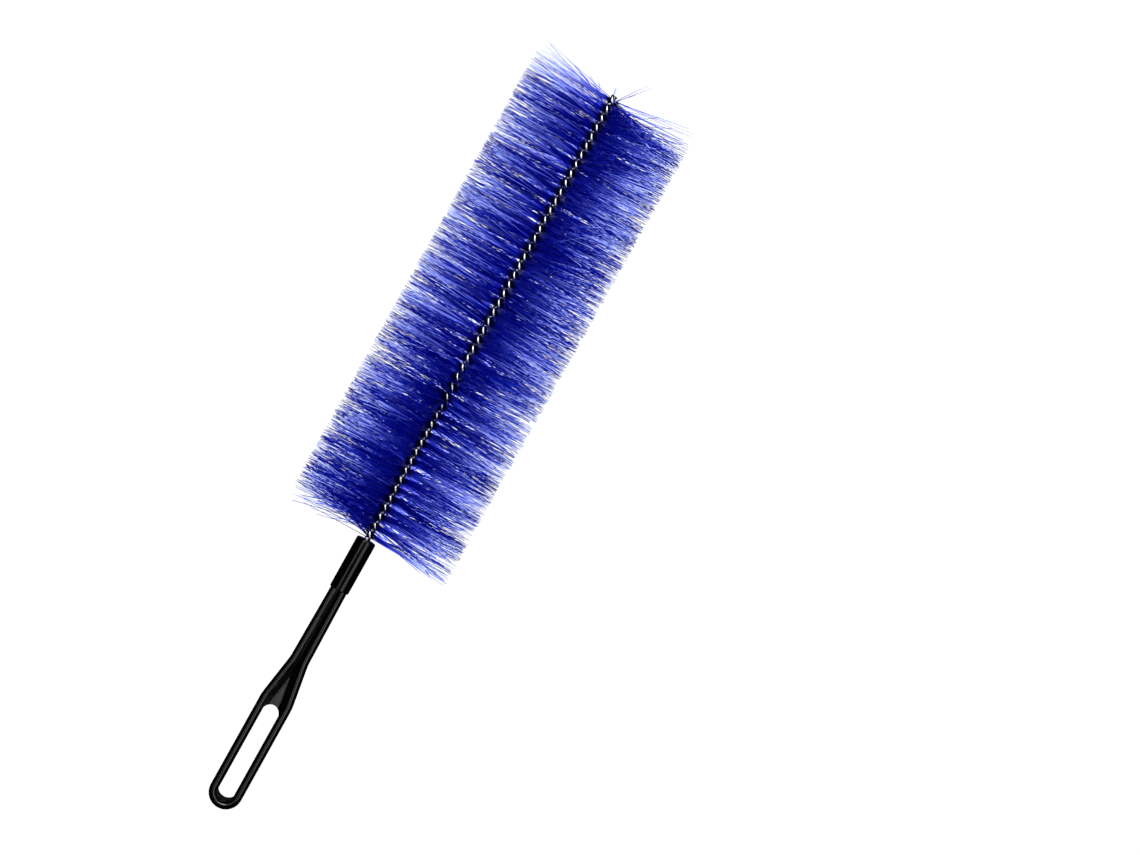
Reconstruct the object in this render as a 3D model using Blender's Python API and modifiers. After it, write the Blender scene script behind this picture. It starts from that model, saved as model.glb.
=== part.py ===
"""Twisted-wire brush on a moulded loop handle, for dusting ceiling fan blades.

The brush lies on its bristles with its axis along X: the handle's loop points to -X and the head to +X.
Places along the brush are measured from the sleeve's mouth, where the bare core comes out of the handle.
All sizes are in metres.
"""

import math
import random

import bmesh
import bpy
from mathutils import Matrix, Vector

# Handle: two rails that close from the loop into a stem, with a thin web between them
HANDLE_LENGTH = 0.1426
LOOP_WIDTH = 0.0160
RAIL_WIDTH = 0.0039
RAIL_HEIGHT = 0.0054
SHOULDER_LENGTH = 0.026
SHOULDER_CORNER_SHARE = 0.17
STEM_GROOVE = 0.0002
STEM_TAPER = 0.0004
SLOT_LENGTH = 0.0484
SLOT_END_WALL = 0.0059
SLOT_ARCH_RISE = 0.0056
WEB_THICKNESS = 0.0018
WEB_SINK = 0.0005
TANG_CORE_DIAMETER = 0.0062
TANG_CORE_INSET = 0.002
TANG_CORE_OVERLAP = 0.001
TANG_NOSE_LENGTH = 0.001
RAIL_BEVEL_RESOLUTION = 4
SHOULDER_STEPS = 12
ARC_STEPS = 13
ROUND_STEPS = 24

# Sleeve: a moulded tube with an end wall that the core passes through
SLEEVE_LENGTH = 0.0268
SLEEVE_WALL = 0.0005
SLEEVE_END_WALL = 0.0012
SLEEVE_CHAMFER = 0.0003
SLEEVE_MOUTH_ROUND = 0.0010
SLEEVE_STEPS = 28
MOUTH_ROUND_STEPS = 3

# Core: two wires twisted together, left-hand lay
WIRE_DIAMETER = 0.00106
TWIST_LEAD = 0.00984
CORE_TAIL = 0.0225
TWIST_PHASE = math.radians(6.6)
POINTS_PER_LEAD = 8
WIRE_BEVEL_RESOLUTION = 1

# Head: filaments pinched at their middles between the wires
HEAD_LENGTH = 0.236
HEAD_DIAMETER = 0.085
BARE_AT_MOUTH = 0.0012
BARE_AT_TIP = 0.0015
TURN_COUNT = 24
FILAMENTS_PER_TURN = 9
STRAND_ROOT_WIDTH = 0.00034
STRAND_TIP_WIDTH = 0.00080
PINCH_SIDES = 4
REST_CUT_DEPTH = 0.0005
RAGGED_LENGTH = 0.0012
RANDOM_TURN = math.radians(3)
RANDOM_LEAN = math.radians(2.5)
END_LEAN = math.radians(6)
END_LEAN_LENGTH = 0.012
SEED = 11

# Fits between the pieces
CLEARANCE = 0.0003
CUT_OVERRUN = 0.002
WELD_DISTANCE = 0.000003

# Sizes that follow from the ones above
HEAD_RADIUS = HEAD_DIAMETER / 2
AXIS_HEIGHT = HEAD_RADIUS - REST_CUT_DEPTH
PINCH_DIAMETER = STRAND_ROOT_WIDTH / math.cos(math.pi / PINCH_SIDES)
CORE_DIAMETER = 2 * WIRE_DIAMETER + PINCH_DIAMETER + 2 * CLEARANCE
HELIX_RADIUS = (CORE_DIAMETER - WIRE_DIAMETER) / 2
LOOP_END = -HANDLE_LENGTH
LOOP_LENGTH = SLOT_END_WALL + SLOT_LENGTH
SLEEVE_START = -SLEEVE_LENGTH
TANG_END = -SLEEVE_END_WALL - CLEARANCE
TANG_CORE_START = SLEEVE_START + TANG_CORE_INSET
RAIL_END = TANG_END - TANG_NOSE_LENGTH
WEB_END = TANG_CORE_START + TANG_CORE_OVERLAP
RAIL_OFFSET_LOOP = (LOOP_WIDTH - RAIL_WIDTH) / 2
RAIL_OFFSET_STEM = (RAIL_WIDTH + STEM_GROOVE) / 2
RAIL_OFFSET_NECK = RAIL_OFFSET_STEM + STEM_TAPER
STEM_WIDTH = 2 * RAIL_WIDTH + STEM_GROOVE
SLEEVE_BORE = STEM_WIDTH + 2 * CLEARANCE
SLEEVE_DIAMETER = SLEEVE_BORE + 2 * SLEEVE_WALL
SLOT_HALF_WIDTH = LOOP_WIDTH / 2 - RAIL_WIDTH
LAST_ROOT = HEAD_LENGTH - BARE_AT_TIP
TURN_LENGTH = (LAST_ROOT - BARE_AT_MOUTH) / TURN_COUNT
ROOT_SPACING = TURN_LENGTH / FILAMENTS_PER_TURN
FORWARD_REACH = LAST_ROOT + HEAD_RADIUS * math.sin(END_LEAN)
MOUTH_X = (HANDLE_LENGTH - FORWARD_REACH) / 2

PARTS_COLLECTION = "ceiling_fan_duster"
CUTTERS_COLLECTION = "cutters"

# Colours as red, green and blue, with roughness and metallic
BLACK_PLASTIC = ((0.006, 0.006, 0.007), 0.28, 0.0)
BRIGHT_STEEL = ((0.56, 0.57, 0.58), 0.25, 1.0)
BLUE_NYLON = ((0.01, 0.01, 0.33), 0.35, 0.0)


def clear_scene():
    """Removes every object, so that the script can be run again."""
    for old in list(bpy.data.objects):
        bpy.data.objects.remove(old, do_unlink=True)
    for name in (PARTS_COLLECTION, CUTTERS_COLLECTION):
        if name in bpy.data.collections:
            bpy.data.collections.remove(bpy.data.collections[name])


def add_collection(name):
    """Makes a collection in the scene."""
    collection = bpy.data.collections.new(name)
    bpy.context.scene.collection.children.link(collection)
    return collection


def add_material(name, finish):
    """Makes one plain material from a colour, a roughness and a metallic value."""
    colour, roughness, metallic = finish
    material = bpy.data.materials.new(name)
    material.use_nodes = True
    shader = material.node_tree.nodes["Principled BSDF"]
    shader.inputs["Base Color"].default_value = (*colour, 1.0)
    shader.inputs["Roughness"].default_value = roughness
    shader.inputs["Metallic"].default_value = metallic
    material.diffuse_color = (*colour, 1.0)
    return material


def add_object(name, data, collection, axis, material=None):
    """Puts a mesh or a curve in the scene, on the brush's axis empty."""
    obj = bpy.data.objects.new(name, data)
    collection.objects.link(obj)
    obj.parent = axis
    if material:
        data.materials.append(material)
    return obj


def as_cutter(obj):
    """Marks an object that only shapes others, so that it is neither rendered nor kept."""
    obj.hide_render = True
    obj.display_type = "WIRE"
    return obj


def add_boolean(obj, operation, other):
    """Joins or cuts an object with another one."""
    modifier = obj.modifiers.new(f"{operation.lower()}_{other.name}", "BOOLEAN")
    modifier.operation = operation
    modifier.solver = "EXACT"
    modifier.object = other


def shade_round(mesh, angle=math.radians(35)):
    """Shades a round mesh smooth, with its real edges sharp."""
    mesh.shade_smooth()
    mesh.set_sharp_from_angle(angle=angle)


def poly_curve(name, points, depth, resolution):
    """Makes a round rod along a list of points, with closed ends."""
    curve = bpy.data.curves.new(name, "CURVE")
    curve.dimensions = "3D"
    curve.bevel_depth = depth
    curve.bevel_resolution = resolution
    curve.use_fill_caps = True
    spline = curve.splines.new("POLY")
    spline.points.add(len(points) - 1)
    for point, place in zip(spline.points, points):
        point.co = (*place, 1.0)
    return curve


def flat_curve(name, outline, thickness):
    """Makes a flat plate from an outline in the XY plane."""
    curve = bpy.data.curves.new(name, "CURVE")
    curve.dimensions = "2D"
    curve.fill_mode = "BOTH"
    curve.extrude = thickness / 2
    spline = curve.splines.new("POLY")
    spline.points.add(len(outline) - 1)
    for point, (x, y) in zip(spline.points, outline):
        point.co = (x, y, 0.0, 1.0)
    spline.use_cyclic_u = True
    return curve


def curve_to_mesh(obj):
    """Turns a curve object into a mesh object with welded caps, in the same place."""
    bpy.context.view_layer.update()
    evaluated = obj.evaluated_get(bpy.context.evaluated_depsgraph_get())
    mesh = bpy.data.meshes.new_from_object(evaluated)
    shape = bmesh.new()
    shape.from_mesh(mesh)
    bmesh.ops.remove_doubles(shape, verts=shape.verts, dist=WELD_DISTANCE)
    shape.to_mesh(mesh)
    shape.free()
    name = obj.name
    solid = bpy.data.objects.new(name, mesh)
    for collection in obj.users_collection:
        collection.objects.link(solid)
    solid.parent = obj.parent
    solid.matrix_world = obj.matrix_world
    bpy.data.objects.remove(obj, do_unlink=True)
    solid.name = name
    return solid


def arc(centre_x, half_width, rise, start, end, steps):
    """Gives points on part of an ellipse round (centre_x, 0), with angles from +X towards +Y."""
    points = []
    for step in range(steps + 1):
        angle = start + (end - start) * step / steps
        points.append((centre_x + rise * math.cos(angle), half_width * math.sin(angle)))
    return points


def shoulder_blend(share):
    """Gives how much of its shift a rail has made at a share of the shoulder: a straight flank between bends."""
    corner = SHOULDER_CORNER_SHARE
    if share < corner:
        return share**2 / (2 * corner * (1 - corner))
    if share > 1 - corner:
        return 1 - (1 - share) ** 2 / (2 * corner * (1 - corner))
    return (share - corner / 2) / (1 - corner)


def rail_side(end):
    """Gives one rail's centre line from its end in the sleeve to where the loop begins."""
    points = [(end, RAIL_OFFSET_STEM), (SLEEVE_START, RAIL_OFFSET_STEM)]
    for step in range(SHOULDER_STEPS + 1):
        share = 1 - step / SHOULDER_STEPS
        x = LOOP_END + LOOP_LENGTH + SHOULDER_LENGTH * share
        shift = (RAIL_OFFSET_NECK - RAIL_OFFSET_LOOP) * shoulder_blend(share)
        points.append((x, RAIL_OFFSET_LOOP + shift))
    return points


def rail_path():
    """Gives the centre line of both rails as one hairpin round the loop's end."""
    side = rail_side(RAIL_END)
    bend_centre = LOOP_END + LOOP_WIDTH / 2
    bend = arc(bend_centre, RAIL_OFFSET_LOOP, RAIL_OFFSET_LOOP, math.pi / 2, math.pi * 3 / 2, ARC_STEPS)
    other = [(x, -y) for x, y in reversed(side)]
    return [Vector((x, y, 0)) for x, y in side + bend + other]


def web_outline():
    """Gives the outline of the web between the rails, from the tang to the arched end of the slot."""
    side = rail_side(WEB_END)
    flank = LOOP_END + LOOP_LENGTH - SLOT_ARCH_RISE
    side.append((flank, RAIL_OFFSET_LOOP))
    half_width = SLOT_HALF_WIDTH + WEB_SINK
    arch = arc(flank, half_width, SLOT_ARCH_RISE, math.pi / 2, -math.pi / 2, ARC_STEPS)
    other = [(x, -y) for x, y in reversed(side)]
    return side + arch + other


def lip_outline():
    """Gives the outline of the crescent web inside the loop's round end."""
    bend_centre = LOOP_END + LOOP_WIDTH / 2
    slot_centre = LOOP_END + SLOT_END_WALL + SLOT_HALF_WIDTH
    outer = arc(bend_centre, RAIL_OFFSET_LOOP, RAIL_OFFSET_LOOP, math.pi / 2, math.pi * 3 / 2, ARC_STEPS)
    half_width = SLOT_HALF_WIDTH + WEB_SINK
    inner = arc(slot_centre, half_width, SLOT_HALF_WIDTH, math.pi * 3 / 2, math.pi / 2, ARC_STEPS)
    corner = (slot_centre, RAIL_OFFSET_LOOP)
    return [corner] + outer + [(slot_centre, -RAIL_OFFSET_LOOP)] + inner


def rod_along_x(name, start, end, diameter, collection, axis):
    """Makes a plain round rod on the brush's axis, as a cutter."""
    mesh = bpy.data.meshes.new(name)
    shape = bmesh.new()
    turn = Matrix.Rotation(math.pi / 2, 4, "Y") @ Matrix.Rotation(math.pi / ROUND_STEPS, 4, "Z")
    bmesh.ops.create_cone(
        shape,
        cap_ends=True,
        segments=ROUND_STEPS,
        radius1=diameter / 2,
        radius2=diameter / 2,
        depth=end - start,
        matrix=Matrix.Translation(((start + end) / 2, 0, 0)) @ turn,
    )
    shape.to_mesh(mesh)
    shape.free()
    return as_cutter(add_object(name, mesh, collection, axis))


def build_handle(parts, cutters, axis):
    """Moulds the handle: oval rails, web, lip and tang in one body, with the core's blind bore."""
    material = add_material("handle_plastic", BLACK_PLASTIC)
    rails = add_object(
        "handle", poly_curve("handle", rail_path(), RAIL_WIDTH / 2, RAIL_BEVEL_RESOLUTION), parts, axis
    )
    handle = curve_to_mesh(rails)
    handle.data.transform(Matrix.Diagonal((1, 1, RAIL_HEIGHT / RAIL_WIDTH, 1)))
    handle.data.materials.clear()
    handle.data.materials.append(material)
    shade_round(handle.data)

    for name, outline in (("web", web_outline()), ("loop_lip", lip_outline())):
        plate = add_object(name, flat_curve(name, outline, WEB_THICKNESS), cutters, axis)
        add_boolean(handle, "UNION", as_cutter(curve_to_mesh(plate)))

    tang = rod_along_x("tang_core", TANG_CORE_START, TANG_END, TANG_CORE_DIAMETER, cutters, axis)
    add_boolean(handle, "UNION", tang)
    bore_end = TANG_END + CUT_OVERRUN
    bore_diameter = CORE_DIAMETER + 2 * CLEARANCE
    bore = rod_along_x("core_bore", -CORE_TAIL - CLEARANCE, bore_end, bore_diameter, cutters, axis)
    add_boolean(handle, "DIFFERENCE", bore)
    return handle


def sleeve_profile():
    """Gives the sleeve's section, as a radius and a height above its open end."""
    radius = SLEEVE_DIAMETER / 2
    bore = SLEEVE_BORE / 2
    hole = CORE_DIAMETER / 2 + CLEARANCE
    inner_top = SLEEVE_LENGTH - SLEEVE_END_WALL
    profile = []
    for step in range(MOUTH_ROUND_STEPS + 1):
        angle = math.pi / 2 * (1 - step / MOUTH_ROUND_STEPS)
        across = radius - SLEEVE_MOUTH_ROUND * (1 - math.cos(angle))
        up = SLEEVE_LENGTH - SLEEVE_MOUTH_ROUND * (1 - math.sin(angle))
        profile.append((across, up))
    profile += [(radius, SLEEVE_CHAMFER), (radius - SLEEVE_CHAMFER, 0), (bore, 0)]
    profile += [(bore, inner_top), (hole, inner_top), (hole, SLEEVE_LENGTH)]
    return profile


def build_sleeve(parts, axis):
    """Turns the sleeve from its section, with its mouth at the end of the handle."""
    profile = sleeve_profile()
    mesh = bpy.data.meshes.new("sleeve")
    shape = bmesh.new()
    corners = [shape.verts.new((across, 0, up)) for across, up in profile]
    for first, second in zip(corners, corners[1:] + corners[:1]):
        shape.edges.new((first, second))
    shape.to_mesh(mesh)
    shape.free()
    sleeve = add_object("sleeve", mesh, parts, axis, add_material("sleeve_plastic", BLACK_PLASTIC))
    sleeve.location = (SLEEVE_START, 0, 0)
    sleeve.rotation_euler = (0, math.pi / 2, 0)
    screw = sleeve.modifiers.new("turn", "SCREW")
    screw.axis = "Z"
    screw.steps = SLEEVE_STEPS
    screw.render_steps = SLEEVE_STEPS
    screw.use_merge_vertices = True
    screw.merge_threshold = WELD_DISTANCE
    screw.use_smooth_shade = True
    return sleeve


def twist_angle(place):
    """Gives wire A's angle round the axis at a place along the brush, in a left-hand lay."""
    return TWIST_PHASE - math.tau * place / TWIST_LEAD


def wire_path(start_angle):
    """Gives a wire's centre line: a helix whose two ends run straight for one diameter."""
    first = -CORE_TAIL + WIRE_DIAMETER
    last = HEAD_LENGTH - WIRE_DIAMETER
    count = round((last - first) / TWIST_LEAD * POINTS_PER_LEAD)
    helix = []
    for step in range(count + 1):
        place = first + (last - first) * step / count
        angle = start_angle + twist_angle(place)
        helix.append(Vector((place, HELIX_RADIUS * math.cos(angle), HELIX_RADIUS * math.sin(angle))))
    straight = Vector((WIRE_DIAMETER, 0, 0))
    return [helix[0] - straight] + helix + [helix[-1] + straight]


def least_gap(points, others, apart):
    """Gives the least space between two wires' surfaces, over points that lie apart along the wire."""
    gaps = []
    for index, point in enumerate(points):
        for other_index, other in enumerate(others):
            if abs(index - other_index) >= apart:
                gaps.append((point - other).length - WIRE_DIAMETER)
    return min(gaps)


def build_core(parts, axis):
    """Twists the two wires and prints the least space inside the winding."""
    material = add_material("core_wire", BRIGHT_STEEL)
    paths = {"wire_a": wire_path(0), "wire_b": wire_path(math.pi)}
    for name, path in paths.items():
        curve = poly_curve(name, path, WIRE_DIAMETER / 2, WIRE_BEVEL_RESOLUTION)
        add_object(name, curve, parts, axis, material)
    own = least_gap(paths["wire_a"], paths["wire_a"], POINTS_PER_LEAD // 2)
    between = least_gap(paths["wire_a"], paths["wire_b"], 0)
    print(f"least gap of a wire to its own turns {own:.5f} m, to the other wire {between:.5f} m")


def end_lean(place):
    """Gives how far the bristles lean away from the head's middle near its two ends."""
    at_mouth = max(0.0, 1 - (place - BARE_AT_MOUTH) / END_LEAN_LENGTH)
    at_tip = max(0.0, 1 - (LAST_ROOT - place) / END_LEAN_LENGTH)
    return END_LEAN * (at_tip - at_mouth)


def filament_angle(place):
    """Gives the angle at which a filament crosses the axis, square to the line between the two wires."""
    return twist_angle(place) + math.pi / 2


def grow_core(shape, rim, step, turn):
    """Extrudes the pinched core's open rim along the axis and turns it, as the wires turn the filaments."""
    grown = bmesh.ops.extrude_edge_only(shape, edges=rim)["geom"]
    corners = [item for item in grown if isinstance(item, bmesh.types.BMVert)]
    edges = [item for item in grown if isinstance(item, bmesh.types.BMEdge)]
    faces = [item for item in grown if isinstance(item, bmesh.types.BMFace)]
    move = Matrix.Translation((step, 0, 0)) @ Matrix.Rotation(turn, 4, "X")
    bmesh.ops.transform(shape, matrix=move, verts=corners)
    return [edge for edge in edges if set(edge.verts) <= set(corners)], faces


def grow_strand(shape, root, angle, lean, length):
    """Extrudes one strand from a face of the core out to the head's edge, cut flat where it rests."""
    outward = Vector((0, math.cos(angle), math.sin(angle)))
    direction = outward * math.cos(lean) + Vector((math.sin(lean), 0, 0))
    start = root.calc_center_median()
    end = Vector((start.x, 0, 0)) + direction * length
    tip = bmesh.ops.extrude_discrete_faces(shape, faces=[root])["faces"][0]
    for corner in tip.verts:
        corner.co = end + (corner.co - start) * (STRAND_TIP_WIDTH / STRAND_ROOT_WIDTH)
        below = -AXIS_HEIGHT - corner.co.z
        if below > 0:
            corner.co += direction * below / direction.z


def turn_mesh(name, first_root, randomness):
    """Makes one turn of bristles: the filaments' pinched middles as a twisted square rod, and their strands."""
    shape = bmesh.new()
    place = first_root + CLEARANCE / 2
    angle = filament_angle(place)
    square = bmesh.ops.create_circle(
        shape,
        cap_ends=True,
        segments=PINCH_SIDES,
        radius=PINCH_DIAMETER / 2,
        matrix=Matrix.Translation((place, 0, 0))
        @ Matrix.Rotation(angle + math.pi / PINCH_SIDES, 4, "X")
        @ Matrix.Rotation(math.pi / 2, 4, "Y"),
    )
    rim = list({edge for corner in square["verts"] for edge in corner.link_edges})
    roots = []
    for index in range(FILAMENTS_PER_TURN):
        middle = first_root + ROOT_SPACING * (index + 0.5)
        root_start = middle - STRAND_ROOT_WIDTH / 2
        rim, _ = grow_core(shape, rim, root_start - place, filament_angle(middle) - angle)
        angle = filament_angle(middle)
        rim, sides = grow_core(shape, rim, STRAND_ROOT_WIDTH, 0)
        place = root_start + STRAND_ROOT_WIDTH
        for way in (0, math.pi):
            outward = Vector((0, math.cos(angle + way), math.sin(angle + way)))
            root = max(sides, key=lambda face: face.calc_center_median().dot(outward))
            roots.append((root, angle + way))
    last = first_root + TURN_LENGTH - CLEARANCE / 2
    rim, _ = grow_core(shape, rim, last - place, filament_angle(last) - angle)
    bmesh.ops.holes_fill(shape, edges=rim, sides=PINCH_SIDES)
    for root, direction in roots:
        lean = end_lean(root.calc_center_median().x) + randomness.uniform(-RANDOM_LEAN, RANDOM_LEAN)
        turned = direction + randomness.uniform(-RANDOM_TURN, RANDOM_TURN)
        ragged = randomness.uniform(0, RAGGED_LENGTH)
        if -HEAD_RADIUS * math.sin(turned) > AXIS_HEIGHT:
            ragged = 0
        grow_strand(shape, root, turned, lean, HEAD_RADIUS - ragged)
    bmesh.ops.recalc_face_normals(shape, faces=shape.faces)
    mesh = bpy.data.meshes.new(name)
    shape.to_mesh(mesh)
    shape.free()
    return mesh


def build_head(parts, axis):
    """Builds the bristles, one object for each turn, fused to its slice of the pinched core."""
    material = add_material("bristle_nylon", BLUE_NYLON)
    randomness = random.Random(SEED)
    for turn in range(TURN_COUNT):
        name = f"bristle_turn_{turn + 1:02d}"
        mesh = turn_mesh(name, BARE_AT_MOUTH + TURN_LENGTH * turn, randomness)
        add_object(name, mesh, parts, axis, material)


def build_brush():
    """Builds the whole brush, lying on its bristles."""
    clear_scene()
    parts = add_collection(PARTS_COLLECTION)
    cutters = add_collection(CUTTERS_COLLECTION)
    axis = bpy.data.objects.new("brush_axis", None)
    parts.objects.link(axis)
    axis.location = (MOUTH_X, 0, AXIS_HEIGHT)
    bpy.context.view_layer.update()
    build_handle(parts, cutters, axis)
    build_sleeve(parts, axis)
    build_core(parts, axis)
    build_head(parts, axis)


build_brush()
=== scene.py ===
"""Dressed model of a twisted-wire brush on a loop handle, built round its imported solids.

The brush lies on its bristles with its axis along X, the handle's loop towards -X and the head towards +X.
Places along the brush are measured from the sleeve's mouth, where the bare core comes out of the handle.
All sizes are in metres.
"""

import logging
import math
import random
from collections.abc import Callable
from dataclasses import dataclass
from enum import Enum
from functools import cached_property

import bmesh
import bpy
from mathutils import Matrix, Vector, noise


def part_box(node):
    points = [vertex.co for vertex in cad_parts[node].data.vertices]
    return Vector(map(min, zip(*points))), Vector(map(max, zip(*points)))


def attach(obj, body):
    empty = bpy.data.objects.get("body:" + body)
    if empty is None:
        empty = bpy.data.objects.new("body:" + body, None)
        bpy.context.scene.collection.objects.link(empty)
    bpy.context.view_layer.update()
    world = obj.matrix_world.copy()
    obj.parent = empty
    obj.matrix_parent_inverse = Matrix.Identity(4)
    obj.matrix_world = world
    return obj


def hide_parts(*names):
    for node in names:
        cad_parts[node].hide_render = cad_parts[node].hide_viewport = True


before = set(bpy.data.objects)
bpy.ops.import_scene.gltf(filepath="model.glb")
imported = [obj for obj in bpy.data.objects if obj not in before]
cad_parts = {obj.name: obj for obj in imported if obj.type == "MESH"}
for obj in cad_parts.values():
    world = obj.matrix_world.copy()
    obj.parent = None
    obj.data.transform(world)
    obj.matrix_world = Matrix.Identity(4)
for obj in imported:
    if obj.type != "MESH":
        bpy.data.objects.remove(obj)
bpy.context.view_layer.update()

LOG = logging.getLogger("duster")
BODY = "root"
TURN_X_TO_Z = Matrix.Rotation(math.pi / 2, 4, "Y")
GRAIN_DETAIL = 3.0
PATCH_DETAIL = 2.0

Colour = tuple[float, float, float]
RampStops = tuple[tuple[float, Colour], ...]


class Slot(Enum):
    """The names of the material slots."""

    HANDLE = "handle_plastic"
    SLEEVE = "sleeve_plastic"
    WIRE = "core_wire"
    NYLON = "bristle_nylon"


class Side(Enum):
    """The two ways in which a filament leaves the core, as angles from the first."""

    ONE = 0.0
    OTHER = math.pi


@dataclass(frozen=True)
class BrushAxis:
    """The line that the brush is built on, read from the solids.

    Attributes:
        mouth: the sleeve's mouth, along X.
        height: the axis's height over the surface that the brush lies on.
    """

    mouth: float
    height: float

    @classmethod
    def from_frame(cls) -> "BrushAxis":
        """Reads the axis from the sleeve, which is turned round it."""
        low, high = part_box("sleeve")
        return cls(mouth=high.x, height=(low.z + high.z) / 2)

    def place_of(self, x: float) -> float:
        """Gives a place along the brush from a coordinate of the frame."""
        return x - self.mouth

    def matrix(self) -> Matrix:
        """Gives the move from the axis's own coordinates to the frame's."""
        return Matrix.Translation((self.mouth, 0, self.height))


def link_mesh(
    shape: bmesh.types.BMesh,
    name: str,
    material: bpy.types.Material,
    smooth: float = math.pi,
) -> bpy.types.Object:
    """Turns a finished shape into an object at the origin.

    Args:
        shape: the shape, already in the frame's coordinates. It is freed.
        name: the piece's name.
        material: the piece's finish.
        smooth: edges that turn by more than this angle stay sharp, which none does at half a turn.

    Returns:
        The new object, linked to the scene.
    """
    mesh = bpy.data.meshes.new(name)
    shape.to_mesh(mesh)
    shape.free()
    mesh.shade_smooth()
    mesh.set_sharp_from_angle(angle=smooth)
    mesh.materials.append(material)
    piece = bpy.data.objects.new(name, mesh)
    bpy.context.scene.collection.objects.link(piece)
    return piece


def fit_piece(piece: bpy.types.Object, node: str) -> bpy.types.Object:
    """Lets a piece stand for a solid and ride on its body.

    Args:
        piece: the dressed piece.
        node: the solid that it stands for.

    Returns:
        The same piece.
    """
    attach(piece, BODY)
    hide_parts(node)
    LOG.info("%s: %d faces, stands for %s", piece.name, len(piece.data.polygons), node)
    return piece


def grow_tube(
    shape: bmesh.types.BMesh,
    ring: list[bmesh.types.BMVert],
    places: list[Matrix],
) -> None:
    """Extrudes a ring along a row of places and closes both ends.

    Args:
        shape: the shape that holds the ring.
        ring: the ring's corners, standing at the first place, with no face.
        places: the ring's place and turn at each step.
    """
    start_edges = list({edge for corner in ring for edge in corner.link_edges})
    edges = start_edges
    corners = ring
    for before, after in zip(places, places[1:]):
        grown = bmesh.ops.extrude_edge_only(shape, edges=edges)["geom"]
        corners = [item for item in grown if isinstance(item, bmesh.types.BMVert)]
        found = set(corners)
        edges = [item for item in grown if isinstance(item, bmesh.types.BMEdge) and set(item.verts) <= found]
        bmesh.ops.transform(shape, matrix=after @ before.inverted(), verts=corners)
    bmesh.ops.holes_fill(shape, edges=start_edges + edges, sides=len(ring))


def add_node(tree: bpy.types.NodeTree, kind: str, **settings: object) -> bpy.types.Node:
    """Adds a node with its settings.

    Args:
        tree: the node tree.
        kind: the node's type name.
        settings: properties to set on the node.

    Returns:
        The new node.
    """
    node = tree.nodes.new(kind)
    for name, value in settings.items():
        setattr(node, name, value)
    return node


def new_material(name: str) -> tuple[bpy.types.Material, bpy.types.NodeTree, bpy.types.Node]:
    """Makes a material with a Principled BSDF.

    Args:
        name: the material's name.

    Returns:
        The material, its node tree and its shader.
    """
    material = bpy.data.materials.new(name)
    material.use_nodes = True
    tree = material.node_tree
    return material, tree, tree.nodes["Principled BSDF"]


def surface_group(name: str, build: Callable[[bpy.types.NodeTree], None]) -> bpy.types.NodeTree:
    """Gives a shader node group, built the first time that it is asked for.

    Args:
        name: the group's name.
        build: fills the new group.

    Returns:
        The group.
    """
    group = bpy.data.node_groups.get(name)
    if group is None:
        group = bpy.data.node_groups.new(name, "ShaderNodeTree")
        build(group)
    return group


def build_grain(group: bpy.types.NodeTree) -> None:
    """Fills the grain group: fine unevenness as a height, and a patchy gloss.

    Args:
        group: the empty node group.
    """
    group.interface.new_socket("Vector", in_out="INPUT", socket_type="NodeSocketVector")
    for name in ("Grain Scale", "Patch Scale", "Roughness Low", "Roughness High"):
        group.interface.new_socket(name, in_out="INPUT", socket_type="NodeSocketFloat")
    for name in ("Height", "Roughness"):
        group.interface.new_socket(name, in_out="OUTPUT", socket_type="NodeSocketFloat")
    links = group.links
    inside = add_node(group, "NodeGroupInput")
    outside = add_node(group, "NodeGroupOutput")
    grain = add_node(group, "ShaderNodeTexNoise")
    grain.inputs["Detail"].default_value = GRAIN_DETAIL
    patches = add_node(group, "ShaderNodeTexNoise")
    patches.inputs["Detail"].default_value = PATCH_DETAIL
    spread = add_node(group, "ShaderNodeMapRange")
    links.new(inside.outputs["Vector"], grain.inputs["Vector"])
    links.new(inside.outputs["Grain Scale"], grain.inputs["Scale"])
    links.new(inside.outputs["Vector"], patches.inputs["Vector"])
    links.new(inside.outputs["Patch Scale"], patches.inputs["Scale"])
    links.new(patches.outputs["Fac"], spread.inputs["Value"])
    links.new(inside.outputs["Roughness Low"], spread.inputs["To Min"])
    links.new(inside.outputs["Roughness High"], spread.inputs["To Max"])
    links.new(grain.outputs["Fac"], outside.inputs["Height"])
    links.new(spread.outputs["Result"], outside.inputs["Roughness"])


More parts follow.
